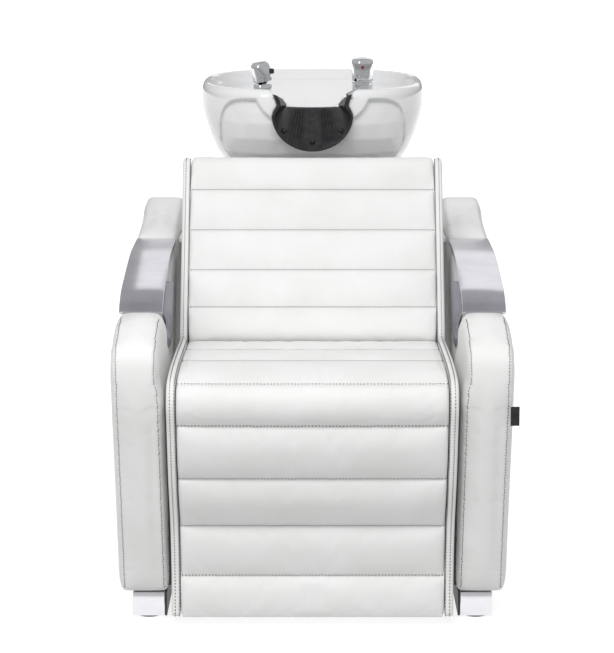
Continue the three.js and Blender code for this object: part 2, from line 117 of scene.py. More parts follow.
def add_floor():
    size = 40
    mesh = bpy.data.meshes.new("floor")
    corners = [(-size, -size, 0), (size, -size, 0), (size, size, 0), (-size, size, 0)]
    mesh.from_pydata(corners, [], [(0, 1, 2, 3)])
    floor = bpy.data.objects.new("floor", mesh)
    bpy.context.collection.objects.link(floor)
    material, bsdf = new_material("floor_white", (0.3, 0.3, 0.3), 0.7)
    bsdf.inputs["Emission Color"].default_value = (1, 1, 1, 1)
    glow_along_floor(material, bsdf)
    mesh.materials.append(material)
    floor.visible_diffuse = False


def glow_along_floor(material, bsdf):
    """The floor glows more the further back it lies, where the lights no longer reach it."""
    nodes, links = material.node_tree.nodes, material.node_tree.links
    split = nodes.new("ShaderNodeSeparateXYZ")
    links.new(object_point(material), split.inputs[0])
    ramp = nodes.new("ShaderNodeValToRGB")
    reach = nodes.new("ShaderNodeMapRange")
    reach.inputs["From Min"].default_value = -3
    reach.inputs["From Max"].default_value = 7
    links.new(split.outputs["Y"], reach.inputs["Value"])
    links.new(reach.outputs["Result"], ramp.inputs["Fac"])
    stops = ramp.color_ramp.elements
    stops[0].position, stops[0].color = 0.10, (0.22, 0.22, 0.22, 1)
    stops[1].position, stops[1].color = 1.0, (0.99, 0.99, 0.99, 1)
    for position, level in ((0.200, 0.26), (0.228, 0.80), (0.36, 0.86), (0.5, 0.95)):
        stops.new(position).color = (level, level, level, 1)
    links.new(ramp.outputs["Color"], bsdf.inputs["Emission Strength"])


# ---------------------------------------------------------------- materials

def new_material(name, colour, roughness, metallic=0.0):
    material = bpy.data.materials.new(name)
    material.use_nodes = True
    bsdf = material.node_tree.nodes["Principled BSDF"]
    bsdf.inputs["Base Color"].default_value = (*colour, 1)
    bsdf.inputs["Roughness"].default_value = roughness
    bsdf.inputs["Metallic"].default_value = metallic
    return material, bsdf


def object_point(material, stretch=(1, 1, 1)):
    nodes, links = material.node_tree.nodes, material.node_tree.links
    coordinates = nodes.new("ShaderNodeTexCoord")
    mapping = nodes.new("ShaderNodeMapping")
    mapping.inputs["Scale"].default_value = stretch
    links.new(coordinates.outputs["Object"], mapping.inputs["Vector"])
    return mapping.outputs["Vector"]


def noise(material, point, scale, detail=3.0, roughness=0.5):
    texture = material.node_tree.nodes.new("ShaderNodeTexNoise")
    texture.inputs["Scale"].default_value = scale
    texture.inputs["Detail"].default_value = detail
    texture.inputs["Roughness"].default_value = roughness
    material.node_tree.links.new(point, texture.inputs["Vector"])
    return texture.outputs["Fac"]


def colour_between(material, bsdf, factor, low, high, start=0.3, stop=0.7):
    ramp = material.node_tree.nodes.new("ShaderNodeValToRGB")
    ramp.color_ramp.elements[0].position = start
    ramp.color_ramp.elements[0].color = (*low, 1)
    ramp.color_ramp.elements[1].position = stop
    ramp.color_ramp.elements[1].color = (*high, 1)
    material.node_tree.links.new(factor, ramp.inputs["Fac"])
    material.node_tree.links.new(ramp.outputs["Color"], bsdf.inputs["Base Color"])


def roughness_between(material, bsdf, factor, low, high):
    spread = material.node_tree.nodes.new("ShaderNodeMapRange")
    spread.inputs["To Min"].default_value = low
    spread.inputs["To Max"].default_value = high
    material.node_tree.links.new(factor, spread.inputs["Value"])
    material.node_tree.links.new(spread.outputs["Result"], bsdf.inputs["Roughness"])


def bump(material, bsdf, layers):
    """Layers of (height, strength, distance in metres), each laid on the one before."""
    nodes, links = material.node_tree.nodes, material.node_tree.links
    normal = None
    for height, strength, distance in layers:
        node = nodes.new("ShaderNodeBump")
        node.inputs["Strength"].default_value = strength
        node.inputs["Distance"].default_value = distance
        links.new(height, node.inputs["Height"])
        if normal is not None:
            links.new(normal, node.inputs["Normal"])
        normal = node.outputs["Normal"]
    links.new(normal, bsdf.inputs["Normal"])


def pebbles(material, point, scale):
    texture = material.node_tree.nodes.new("ShaderNodeTexVoronoi")
    texture.feature = "SMOOTH_F1"
    texture.inputs["Scale"].default_value = scale
    texture.inputs["Smoothness"].default_value = 0.6
    material.node_tree.links.new(point, texture.inputs["Vector"])
    return texture.outputs["Distance"]


def leather_material():
    material, bsdf = new_material("white_leatherette", (0.86, 0.86, 0.85), 0.42)
    point = object_point(material)
    patches = noise(material, point, 9, 4)
    colour_between(material, bsdf, patches, (0.84, 0.84, 0.825), (0.90, 0.90, 0.89))
    roughness_between(material, bsdf, noise(material, point, 40, 3), 0.34, 0.50)
    grain = pebbles(material, point, 620)
    creases = noise(material, point, 55, 5, 0.6)
    bump(material, bsdf, [(creases, 0.25, 0.0012), (grain, 0.28, 0.00022)])
    bsdf.inputs["Coat Weight"].default_value = 0.12
    bsdf.inputs["Coat Roughness"].default_value = 0.28
    return material


def shaded_thread_material():
    # The thread is coloured dark grey: painted shade of the stitch holes and seam grooves, on thread that is
    # white.
    material, bsdf = new_material("thread_with_painted_shade", (0.5, 0.5, 0.49), 0.8)
    point = object_point(material)
    colour_between(material, bsdf, noise(material, point, 900, 2), (0.13, 0.13, 0.125), (0.22, 0.22, 0.21))
    bump(material, bsdf, [(noise(material, point, 2600, 2), 0.5, 0.0002)])
    return material


def ceramic_material():
    material, bsdf = new_material("white_glaze", (0.9, 0.9, 0.9), 0.07)
    point = object_point(material)
    colour_between(material, bsdf, noise(material, point, 6, 3), (0.83, 0.833, 0.835), (0.87, 0.87, 0.868))
    roughness_between(material, bsdf, noise(material, point, 30, 4), 0.05, 0.12)
    bump(material, bsdf, [(noise(material, point, 26, 2), 0.06, 0.0012)])
    bsdf.inputs["Coat Weight"].default_value = 0.6
    bsdf.inputs["Coat Roughness"].default_value = 0.04
    return material


def polished_steel_material():
    material, bsdf = new_material("polished_steel", (0.62, 0.61, 0.66), 0.16, 1.0)
    grain = noise(material, object_point(material, (9, 900, 900)), 1.0, 4)
    clouds = noise(material, object_point(material), 14, 3)
    colour_between(material, bsdf, clouds, (0.58, 0.57, 0.62), (0.68, 0.67, 0.72))
    roughness_between(material, bsdf, grain, 0.13, 0.27)
    bump(material, bsdf, [(grain, 0.05, 0.0002)])
    return material


def chrome_material(name="chrome", dark=(0.80, 0.81, 0.83), light=(0.90, 0.91, 0.92)):
    material, bsdf = new_material(name, light, 0.05, 1.0)
    point = object_point(material)
    smears = noise(material, point, 60, 4)
    colour_between(material, bsdf, smears, dark, light)
    roughness_between(material, bsdf, smears, 0.03, 0.11)
    bump(material, bsdf, [(noise(material, point, 220, 2), 0.03, 0.0003)])
    return material


def rubber_material():
    material, bsdf = new_material("black_rubber", (0.018, 0.018, 0.02), 0.42)
    point = object_point(material)
    clouds = noise(material, point, 70, 3)
    colour_between(material, bsdf, clouds, (0.010, 0.010, 0.011), (0.030, 0.030, 0.032))
    roughness_between(material, bsdf, noise(material, point, 130, 3), 0.30, 0.52)
    bump(material, bsdf, [(pebbles(material, point, 1400), 0.2, 0.00015)])
    return material


def plywood_material():
    material, bsdf = new_material("plywood", (0.6, 0.45, 0.28), 0.7)
    rings = noise(material, object_point(material, (3, 40, 40)), 1.6, 5, 0.6)
    colour_between(material, bsdf, rings, (0.50, 0.35, 0.20), (0.70, 0.54, 0.36))
    roughness_between(material, bsdf, rings, 0.6, 0.8)
    bump(material, bsdf, [(rings, 0.2, 0.0006)])
    return material


def powder_coat_material():
    material, bsdf = new_material("black_powder_coat", (0.03, 0.03, 0.032), 0.5)
    point = object_point(material)
    colour_between(material, bsdf, noise(material, point, 25, 3), (0.022, 0.022, 0.024), (0.05, 0.05, 0.052))
    roughness_between(material, bsdf, noise(material, point, 60, 3), 0.42, 0.6)
    bump(material, bsdf, [(noise(material, point, 1100, 2), 0.25, 0.0002)])
    return material


def panel_material():
    material, bsdf = new_material("white_panel", (0.84, 0.84, 0.835), 0.4)
    point = object_point(material)
    colour_between(material, bsdf, noise(material, point, 5, 3), (0.80, 0.80, 0.79), (0.86, 0.86, 0.855))
    roughness_between(material, bsdf, noise(material, point, 45, 3), 0.32, 0.48)
    bump(material, bsdf, [(noise(material, point, 700, 3), 0.15, 0.0002)])
    return material


def plastic_material(name, dark, light):
    material, bsdf = new_material(name, light, 0.45)
    point = object_point(material)
    colour_between(material, bsdf, noise(material, point, 30, 3), dark, light)
    roughness_between(material, bsdf, noise(material, point, 90, 3), 0.36, 0.55)
    bump(material, bsdf, [(noise(material, point, 900, 2), 0.15, 0.0002)])
    return material


def brass_material():
    material, bsdf = new_material("brass", (0.72, 0.53, 0.26), 0.28, 1.0)
    turned = noise(material, object_point(material, (60, 60, 900)), 1.0, 3)
    colour_between(material, bsdf, turned, (0.62, 0.44, 0.20), (0.78, 0.60, 0.32))
    roughness_between(material, bsdf, turned, 0.2, 0.38)
    return material


def index_material():
    material, bsdf = new_material("index_enamel", (0.25, 0.01, 0.015), 0.25)
    point = object_point(material)
    colour_between(material, bsdf, noise(material, point, 300, 2), (0.20, 0.008, 0.012), (0.32, 0.014, 0.02))
    return material


LEATHER = leather_material()
SHADED_THREAD = shaded_thread_material()
CERAMIC = ceramic_material()
STEEL = polished_steel_material()
CHROME = chrome_material()
FOOT_METAL = chrome_material("foot_metal", (0.795, 0.79, 0.82), (0.82, 0.815, 0.845))
RUBBER = rubber_material()
PLYWOOD = plywood_material()
POWDER_COAT = powder_coat_material()
PANEL = panel_material()
BLACK_PLASTIC = plastic_material("black_plastic", (0.015, 0.015, 0.016), (0.035, 0.035, 0.037))
PIPE_PLASTIC = plastic_material("pipe_plastic", (0.72, 0.72, 0.70), (0.82, 0.82, 0.80))
BRASS = brass_material()
INDEX = index_material()


# ---------------------------------------------------------------- mesh helpers

def new_piece(name, vertices, faces, material, body, smooth=True):
    mesh = bpy.data.meshes.new(name)
    mesh.from_pydata([tuple(v) for v in vertices], [], faces)
    mesh.validate()
    fix_normals(mesh)
    mesh.materials.append(material)
    if smooth:
        mesh.shade_smooth()
    piece = bpy.data.objects.new(name, mesh)
    bpy.context.collection.objects.link(piece)
    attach(piece, body)
    return piece


def fix_normals(mesh):
    work = bmesh.new()
    work.from_mesh(mesh)
    bmesh.ops.recalc_face_normals(work, faces=work.faces)
    work.to_mesh(mesh)
    work.free()


def quads(rows, columns, close_rows=False, close_columns=False):
    faces = []
    for r in range(rows if close_rows else rows - 1):
        for c in range(columns if close_columns else columns - 1):
            next_r, next_c = (r + 1) % rows, (c + 1) % columns
            here, beyond = r * columns, next_r * columns
            faces.append((here + c, here + next_c, beyond + next_c, beyond + c))
    return faces


def swept(name, rings, material, body, smooth=True):
    """A closed skin over rings of equal length, capped at both ends."""
    count = len(rings[0])
    vertices = [point for ring in rings for point in ring]
    faces = quads(len(rings), count, close_columns=True)
    faces.append(tuple(reversed(range(count))))
    last = (len(rings) - 1) * count
    faces.append(tuple(range(last, last + count)))
    return new_piece(name, vertices, faces, material, body, smooth)


def bake(piece):
    """Applies the piece's modifiers to its mesh."""
    bpy.context.view_layer.update()
    graph = bpy.context.evaluated_depsgraph_get()
    mesh = bpy.data.meshes.new_from_object(piece.evaluated_get(graph))
    piece.modifiers.clear()
    old = piece.data
    piece.data = mesh
    bpy.data.meshes.remove(old)
    mesh.shade_smooth()


def subdivide(piece, levels=1):
    modifier = piece.modifiers.new("subdivision", "SUBSURF")
    modifier.levels = modifier.render_levels = levels


def bevel(piece, width, segments=3):
    modifier = piece.modifiers.new("bevel", "BEVEL")
    modifier.width = width
    modifier.segments = segments
    modifier.limit_method = "ANGLE"
    modifier.angle_limit = math.radians(35)
    bake(piece)


def melt(piece, voxel, passes):
    """Voxel remesh and smoothing: rounds every edge of a hard solid."""
    remesh = piece.modifiers.new("remesh", "REMESH")
    remesh.mode = "VOXEL"
    remesh.voxel_size = voxel
    smooth = piece.modifiers.new("smooth", "SMOOTH")
    smooth.factor = 0.5
    smooth.iterations = passes
    bake(piece)


def points_of(piece):
    flat = np.zeros(len(piece.data.vertices) * 3)
    piece.data.vertices.foreach_get("co", flat)
    return flat.reshape(-1, 3)


def set_points(piece, points):
    piece.data.vertices.foreach_set("co", points.ravel())
    piece.data.update()


def inflate(piece, pressure, limit, pinned=None, slack=0.0, frames=12):
    """Cloth simulation under pressure, with no point moving further than the limit."""
    start = points_of(piece)
    cloth = piece.modifiers.new("cloth", "CLOTH")
    settings = cloth.settings
    settings.use_pressure = True
    settings.uniform_pressure_force = pressure
    settings.mass = 0.3
    settings.tension_stiffness = settings.compression_stiffness = 25
    settings.shear_stiffness = 8
    settings.bending_stiffness = 0.3
    settings.shrink_min = -slack
    settings.effector_weights.gravity = 0
    settings.quality = 5
    cloth.collision_settings.use_collision = False
    if pinned is not None:
        group = piece.vertex_groups.new(name="pinned")
        group.add([int(i) for i in np.flatnonzero(pinned)], 1.0, "REPLACE")
        settings.vertex_group_mass = "pinned"
    scene = bpy.context.scene
    cloth.point_cache.frame_end = frames
    for number in range(1, frames + 1):
        scene.frame_set(number)
    graph = bpy.context.evaluated_depsgraph_get()
    result = piece.evaluated_get(graph)
    flat = np.zeros(len(result.data.vertices) * 3)
    result.data.vertices.foreach_get("co", flat)
    move = flat.reshape(-1, 3) - start
    piece.modifiers.clear()
    piece.vertex_groups.clear()
    scene.frame_set(1)
    length = np.linalg.norm(move, axis=1, keepdims=True)
    allowed = limit * np.tanh(length / limit)
    set_points(piece, start + move * allowed / np.maximum(length, 1e-9))


def smooth_line(points, spacing):
    """Even points on a Catmull-Rom curve through the given ones."""
    points = np.array(points, float)
    padded = np.vstack([2 * points[0] - points[1], points, 2 * points[-1] - points[-2]])
    dense = []
    for i in range(1, len(padded) - 2):
        before, here, after, beyond = padded[i - 1:i + 3]
        for t in np.linspace(0, 1, 24, endpoint=False):
            dense.append(0.5 * (2 * here + (after - before) * t
                                + (2 * before - 5 * here + 4 * after - beyond) * t ** 2
                                + (3 * here - before - 3 * after + beyond) * t ** 3))
    dense.append(points[-1])
    return resample(np.array(dense), spacing)


def resample(line, spacing):
    lengths = np.concatenate([[0], np.cumsum(np.linalg.norm(np.diff(line, axis=0), axis=1))])
    count = max(2, int(round(lengths[-1] / spacing)) + 1)
    wanted = np.linspace(0, lengths[-1], count)
    return np.stack([np.interp(wanted, lengths, line[:, k]) for k in range(line.shape[1])], axis=1)


def line_normals(line):
    """Unit normals on the left of a line of (y, z) points."""
    along = np.gradient(line, axis=0)
    along /= np.linalg.norm(along, axis=1, keepdims=True)
    return np.stack([-along[:, 1], along[:, 0]], axis=1)


def place(points):
    """(station, height) in millimetres to (y, z) in metres."""
    return [(FRONT_Y + s / 1000, z / 1000) for s, z in points]


def round_corners(corners, steps=8):
    """A closed outline of (station, height, radius) with its corners rounded."""
    line = []
    count = len(corners)
    for i, (s, z, radius) in enumerate(corners):
        here = np.array([s, z], float)
        before = np.array(corners[i - 1][:2], float) - here
        after = np.array(corners[(i + 1) % count][:2], float) - here
        start = here + before / np.linalg.norm(before) * min(radius, np.linalg.norm(before) * 0.49)
        end = here + after / np.linalg.norm(after) * min(radius, np.linalg.norm(after) * 0.49)
        if radius == 0:
            line.append(tuple(here))
            continue
        for t in np.linspace(0, 1, steps):
            line.append(tuple((1 - t) ** 2 * start + 2 * t * (1 - t) * here + t ** 2 * end))
    return line


# ---------------------------------------------------------------- stitching

STITCH_PITCH = 0.0064
STITCH_LENGTH = 0.0032
STITCH_RADIUS = 0.00095


def stitching(name, runs, skin, body):
    """Rows of stitches laid on a skin. A run is a list of 3-D points near the skin."""
    tree = BVHTree.FromObject(skin, bpy.context.evaluated_depsgraph_get())
    vertices, faces = [], []
    for run in runs:
        for middle, along in stitch_places(np.array(run, float)):
            hit, normal, _, _ = tree.find_nearest(Vector(middle))
            if hit is None:
                continue
            add_stitch(vertices, faces, hit + normal * STITCH_RADIUS * 0.35, Vector(along), normal)
    return new_piece(name, vertices, faces, SHADED_THREAD, body)


def stitch_places(run):
    line = resample(run, STITCH_PITCH)
    for a, b in zip(line[:-1], line[1:]):
        along = b - a
        yield (a + b) / 2, along / np.linalg.norm(along)


def add_stitch(vertices, faces, centre, along, normal):
    along = (along - normal * along.dot(normal)).normalized()
    side = along.cross(normal)
    first = len(vertices)
    sections = ((-0.5, 0.35), (-0.3, 1.0), (0.3, 1.0), (0.5, 0.35))
    for place_along, swell in sections:
        for k in range(6):
            angle = k * math.tau / 6
            ring = side * math.cos(angle) + normal * math.sin(angle)
            dip = normal * (0.0003 if swell == 1.0 else 0)
            stretch = along * place_along * STITCH_LENGTH
            vertices.append(centre + stretch + ring * STITCH_RADIUS * swell + dip)
    for face in quads(4, 6, close_columns=True):
        faces.append(tuple(first + i for i in face))
    faces.append(tuple(first + i for i in reversed(range(6))))
    faces.append(tuple(first + 18 + i for i in range(6)))


# ---------------------------------------------------------------- channelled pads

PAD_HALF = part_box("seat_pad")[1].x
BORDER = 0.0165                     # the raised stitched strip down each side
FACE_INSET = 0.001                  # the seams lie this deep under the pad's outline
ROWS_PER_CHANNEL = 18
EDGE_ROLL = 0.024                   # the channels fade over this width beside the borders

SEAT_FACE = place([(124, 18), (131, 100), (108, 205), (53, 307), (16, 410), (0, 457), (14, 489), (55, 500),
                   (150, 503), (300, 499), (490, 490)])
SEAT_INSIDE = place([(488, 407), (300, 420), (102, 434), (93, 418), (150, 205), (195, 20)])
SEAT_SEAMS = place([(124, 18), (134, 99), (110, 203), (53, 307), (16, 418), (22, 492), (212, 502),
                    (362, 497), (490, 490)])
SEAT_RISES = [0.013, 0.014, 0.014, 0.014, 0.012, 0.0065, 0.0055, 0.004]

CREASE, BACK_TOP = np.array([495, 488]), np.array([697, 843])
BACK_LENGTH = np.linalg.norm(BACK_TOP - CREASE)
BACK_UP = (BACK_TOP - CREASE) / BACK_LENGTH
BACK_TOP_RADIUS = 22
BACK_SEAM_DISTANCES = (0, 73, 154, 242, 332)
BACK_RISES = [0.011, 0.012, 0.012, 0.012, 0.012]


def back_point(along, behind):
    """Station and height of a point of the reclined back."""
    return tuple(CREASE + along * BACK_UP + behind * np.array([BACK_UP[1], -BACK_UP[0]]))


def rounded_back_face():
    top, bottom = [], []
    radius = BACK_TOP_RADIUS
    for angle in np.linspace(0, math.pi / 2, 5):
        shift = radius * (1 - math.cos(angle))
        bottom.append(back_point(radius - radius * math.sin(angle), shift))
        top.append(back_point(BACK_LENGTH - radius + radius * math.sin(angle), shift))
    middle = [back_point(along, 0) for along in (90, 170, 250, 330)]
    return place(bottom[::-1] + middle + top)


BACK_FACE = rounded_back_face()
BACK_INSIDE = place([back_point(BACK_LENGTH - 2, 67), back_point(BACK_LENGTH / 2, 69), back_point(3, 67)])
BACK_SEAMS = [BACK_FACE[0]] + place([back_point(d, 0) for d in BACK_SEAM_DISTANCES[1:]]) + [BACK_FACE[-1]]


def channel_swell(t, last):
    """Height of a channel: steep under its upper seam, falling slowly to the seam below it."""
    down = 1 - t
    if last:
        down = 0.01 + 0.99 * down
    return math.sin(math.pi * down ** 0.74) ** 0.72


def seam_shares(line, seams):
    share = np.linspace(0, 1, len(line))
    return [share[np.argmin(np.linalg.norm(line - np.array(seam), axis=1))] for seam in seams]


def channel_rows(face, seams, rises, open_end):
    """Rows down a padded face: position, outward normal, rise and whether it is a seam."""
    line = smooth_line(face, 0.001)
    normals = line_normals(line)
    share = np.linspace(0, 1, len(line))
    shares = seam_shares(line, seams)
    rows = []
    for i, (start, stop) in enumerate(zip(shares[:-1], shares[1:])):
        last = open_end and i == len(rises) - 1
        for k in range(ROWS_PER_CHANNEL):
            t = 0.5 - 0.5 * math.cos(math.pi * k / ROWS_PER_CHANNEL)
            t = 0.6 * t + 0.4 * k / ROWS_PER_CHANNEL
            rows.append((start + (stop - start) * t, rises[i] * channel_swell(t, last), k == 0))
    rows.append((1.0, rises[-1] * channel_swell(1.0, open_end), True))
    places = np.array([[np.interp(at, share, line[:, k]) for k in (0, 1)] for at, _, _ in rows])
    outward = np.array([[np.interp(at, share, normals[:, k]) for k in (0, 1)] for at, _, _ in rows])
    return places, outward, np.array([r[1] for r in rows]), np.array([r[2] for r in rows])


def channel_pad(name, face, inside, seams, rises, node, open_end=False):
    half = PAD_HALF - BORDER + 0.001
    places, outward, rise, seam = channel_rows(face, seams, rises, open_end)
    columns = np.linspace(-1, 1, 70)
    columns = half * (0.84 * columns + 0.16 * np.sin(columns * math.pi / 2))
    edge = np.clip((np.abs(columns) - (half - EDGE_ROLL)) / EDGE_ROLL, 0, 1)
    crown = np.sqrt(np.clip(1 - edge ** 2.2, 0, 1))
    vertices, pinned = [], []
    for row in range(len(places)):
        for column, x in enumerate(columns):
            lift = -FACE_INSET + rise[row] * (0.15 + 0.85 * crown[column])
            vertices.append((x, *(places[row] + outward[row] * lift)))
            pinned.append(seam[row] or column in (0, len(columns) - 1))
    for y, z in resample(np.array(inside), 0.03):
        for x in columns:
            vertices.append((x, y, z))
            pinned.append(True)
    count = len(columns)
    rows = len(vertices) // count
    faces = quads(rows, count, close_rows=True)
    faces.append(tuple(r * count for r in range(rows)))
    faces.append(tuple(r * count + count - 1 for r in reversed(range(rows))))
    pad = new_piece(name, vertices, faces, LEATHER, "frame")
    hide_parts(node)
    inflate(pad, pressure=7, limit=0.003, pinned=np.array(pinned), slack=0.006)
    subdivide(pad)
    runs = []
    for row in np.flatnonzero(seam)[1:-1]:
        above = row + 1
        y, z = places[above] + outward[above] * (rise[above] - FACE_INSET)
        runs.append([(x, y, z) for x in np.linspace(-half + 0.003, half - 0.003, 40)])
    stitching(name + "_stitching", runs, pad, "frame")


BORDER_SECTION = ((0.0, -0.010), (0.0, -0.001), (0.0016, 0.0040), (0.0040, 0.0060), (0.0072, 0.0062),
                  (0.0092, 0.0048), (0.0112, 0.0056), (0.0136, 0.0046), (0.0158, 0.0015), (0.0165, -0.004),
                  (0.0168, -0.012))


def side_border(name, face, inside, side):
    """The raised strip with two rows of stitches that runs down one side of a pad."""
    inner = PAD_HALF - BORDER
    line = smooth_line(face, 0.009)
    normals = line_normals(line)
    back = resample(np.array(inside), 0.03)
    rings = []
    for outwards, lift in BORDER_SECTION:
        x = side * (inner + outwards)
        rings.append([(x, *(p + n * lift)) for p, n in zip(line, normals)] + [(x, y, z) for y, z in back])
    border = swept(name, rings, LEATHER, "frame")
    subdivide(border)
    runs = []
    for outwards, lift in ((0.0093, 0.005), (0.0008, 0.003)):
        x = side * (inner + outwards)
        runs.append([(x, *(p + n * lift)) for p, n in zip(line, normals)])
    stitching(name + "_stitching", runs, border, "frame")


def gap_shade_sheet(name, inside, side):
    """Black sheet that closes the narrow gap between a pad and the side panel: painted shade for the dark,
    shadowed gap.
    """
    near, far = PAD_HALF + 0.0006, PANEL_IN - 0.0006
    line = resample(np.array(inside), 0.02)
    normals = line_normals(line)
    rings = []
    for x, lift in ((near, 0.0), (near, 0.003), (far, 0.003), (far, 0.0)):
        rings.append([(side * x, *(p + n * lift)) for p, n in zip(line, normals)])
    count = len(line)
    vertices = [point for ring in rings for point in ring]
    faces = quads(4, count, close_rows=True)
    faces.append(tuple(r * count for r in range(4)))
    faces.append(tuple(r * count + count - 1 for r in reversed(range(4))))
    new_piece(name, vertices, faces, RUBBER, "frame", smooth=False)


def add_pads():
    channel_pad("seat_cushion", SEAT_FACE, SEAT_INSIDE, SEAT_SEAMS, SEAT_RISES, "seat_pad")
    channel_pad("backrest_cushion", BACK_FACE, BACK_INSIDE, BACK_SEAMS, BACK_RISES, "backrest_pad",
                open_end=True)
    for side, sign in (("left", -1), ("right", 1)):
        side_border("seat_border_" + side, SEAT_FACE, SEAT_INSIDE, sign)
        side_border("backrest_border_" + side, BACK_FACE, BACK_INSIDE, sign)
        # black sheets in the gaps beside the seat: painted shade
        gap_shade_sheet("seat_gusset_" + side, SEAT_INSIDE[2:5] + place([(184, 66)]), sign)


# ---------------------------------------------------------------- side panels

PANEL_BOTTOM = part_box("arm_right")[0].z * 1000
PANEL_REAR = (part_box("arm_right")[1].y - FRONT_Y) * 1000

OPENING = [(236, 594, 8), (322, 566, 40), (366, 545, 18), (370, 512, 30), (430, 483, 30),
           (530, 484, 40), (585, 514, 30), (614, 556, 50), (664, 648, 0)]
PANEL_VOXEL = 0.006
PANEL_STUFFING = 0.0105             # how far the panels swell towards the seat
STITCHED_FROM = 6                   # the outline points before this one lie under the panel
STITCHED_TO = 0.215                 # station where the topstitching ends
PANEL_FRONT = [(172, PANEL_BOTTOM, 16), (12, 486, 60), (10, 556, 34), (140, 596, 40)]
PANEL_REAR_TOP = [(762, 651, 0), (770, 674, 10), (940, 692, 60), (1010, 712, 60), (PANEL_REAR, 716, 62),
                  (PANEL_REAR, PANEL_BOTTOM, 20)]
PLATE_INNER, PLATE_OUTER = 0.2885, 0.3725
PLATE_CURVE = [(241, 593), (262, 610), (309, 627), (405, 642), (470, 651), (577, 662), (752, 664)]


def smooth_step(low, high, value):
    t = np.clip((value - low) / (high - low), 0, 1)
    return t * t * (3 - 2 * t)


def upholstered_panel(side, sign):
    outline = place(round_corners(PANEL_FRONT + OPENING + PANEL_REAR_TOP))
    soft = 0.004
    rings = []
    for x in (PANEL_IN + soft, PANEL_OUT + 0.001):
        rings.append([(sign * x, y, z) for y, z in outline])
    name = "side_panel_" + side
    panel = swept(name, rings, LEATHER, "frame")
    if side == "left":
        melt(panel, PANEL_VOXEL, 8)
        swell_inwards(panel, sign)
        inflate(panel, pressure=4, limit=0.004)
    else:
        mirror_of(panel, "side_panel_left")
    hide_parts("arm_" + side)
    front = smooth_edge(outline)
    runs = []
    for x in (PANEL_IN, PANEL_OUT - 0.006):
        runs.append([(sign * x, y, z) for y, z in front])
    stitching(name + "_stitching", runs, panel, "frame")


def mirror_of(piece, source):
    old = piece.data
    piece.data = bpy.data.objects[source].data.copy()
    bpy.data.meshes.remove(old)
    points = points_of(piece)
    points[:, 0] *= -1
    set_points(piece, points)
    piece.data.flip_normals()


def swell_inwards(panel, sign):
    """Below the armrest the front part of a panel is stuffed until it almost touches the seat."""
    points = points_of(panel)
    station, height = points[:, 1] - FRONT_Y, points[:, 2]
    inner_share = np.clip((PANEL_OUT - np.abs(points[:, 0])) / (PANEL_OUT - PANEL_IN), 0, 1)
    amount = PANEL_STUFFING * inner_share
    amount *= 1 - smooth_step(0.33, 0.42, station)
    amount *= 1 - smooth_step(0.45, 0.52, height)
    points[:, 0] -= sign * amount
    set_points(panel, points)


def smooth_edge(outline):
    """The part of the outline that carries topstitching: up the front and over to the opening."""
    last = next(i for i, (y, _) in enumerate(outline) if y > FRONT_Y + STITCHED_TO)
    return resample(np.array(outline[STITCHED_FROM:last]), 0.004)


def armrest_plate(side, sign):
    line = smooth_line(place(PLATE_CURVE), 0.006)
    normals = line_normals(line)
    low, high = PLATE_INNER, PLATE_OUTER
    edge = 0.0016
    thick = 0.008
    section = [(low + edge, 0), (high - edge, 0), (high - edge * 0.3, -edge * 0.3), (high, -edge),
               (high, -thick + edge), (high - edge, -thick), (low + edge, -thick), (low, -thick + edge),
               (low, -edge), (low + edge * 0.3, -edge * 0.3)]
    rings = []
    for p, n in zip(line, normals):
        rings.append([(sign * x, *(p + n * lift)) for x, lift in section])
    name = "armrest_plate_skin_" + side
    plate = swept(name, rings, STEEL, "frame")
    bevel(plate, 0.0004, 2)
    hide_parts("armrest_plate_" + side)


def opening_liner(side, sign):
    line = round_corners([(200, 600, 0)] + OPENING, 10)[9:-1]
    line = resample(np.array(place(line)), 0.004)
    normals = line_normals(line)
    low, high = PANEL_IN + 0.0025, PANEL_OUT - 0.0035
    rings = []
    for p, n in zip(line[1:-3], normals[1:-3]):
        near, far = p + n * 0.0012, p + n * 0.0034
        rings.append([(sign * low, *near), (sign * high, *near), (sign * high, *far), (sign * low, *far)])
    liner = swept("opening_liner_skin_" + side, rings, STEEL, "frame")
    bevel(liner, 0.0005, 2)
    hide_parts("opening_liner_" + side)


def blank_tag():
    """A plain black cloth tag sewn into the outer seam of the right panel."""
    width, height, thick = 0.0165, 0.036, 0.0006
    vertices = []
    for along in np.linspace(0, 1, 7):
        for up in np.linspace(-0.5, 0.5, 9):
            curl = 0.0022 * math.sin(along * 2.2) + 0.0008 * math.cos(up * 3)
            for face in (-1, 1):
                vertices.append((PANEL_OUT - 0.004 + width * along, FRONT_Y + 0.019 + curl + face * thick,
                                 0.435 + height * up))

    def index(a, u, f):
        return (a * 9 + u) * 2 + f

    faces = []
    for a in range(6):
        for u in range(8):
            for f in (0, 1):
                low, high = (index(a, u, f), index(a + 1, u, f)), (index(a + 1, u + 1, f), index(a, u + 1, f))
                faces.append(low + high)
        for u in (0, 8):
            faces.append((index(a, u, 0), index(a + 1, u, 0), index(a + 1, u, 1), index(a, u, 1)))
    for u in range(8):
        for a in (0, 6):
            faces.append((index(a, u, 0), index(a, u + 1, 0), index(a, u + 1, 1), index(a, u, 1)))
    new_piece("blank_tag", vertices, faces, RUBBER, "frame")


def add_sides():
    blank_tag()
    for side, sign in (("left", -1), ("right", 1)):
        upholstered_panel(side, sign)
        armrest_plate(side, sign)
        opening_liner(side, sign)


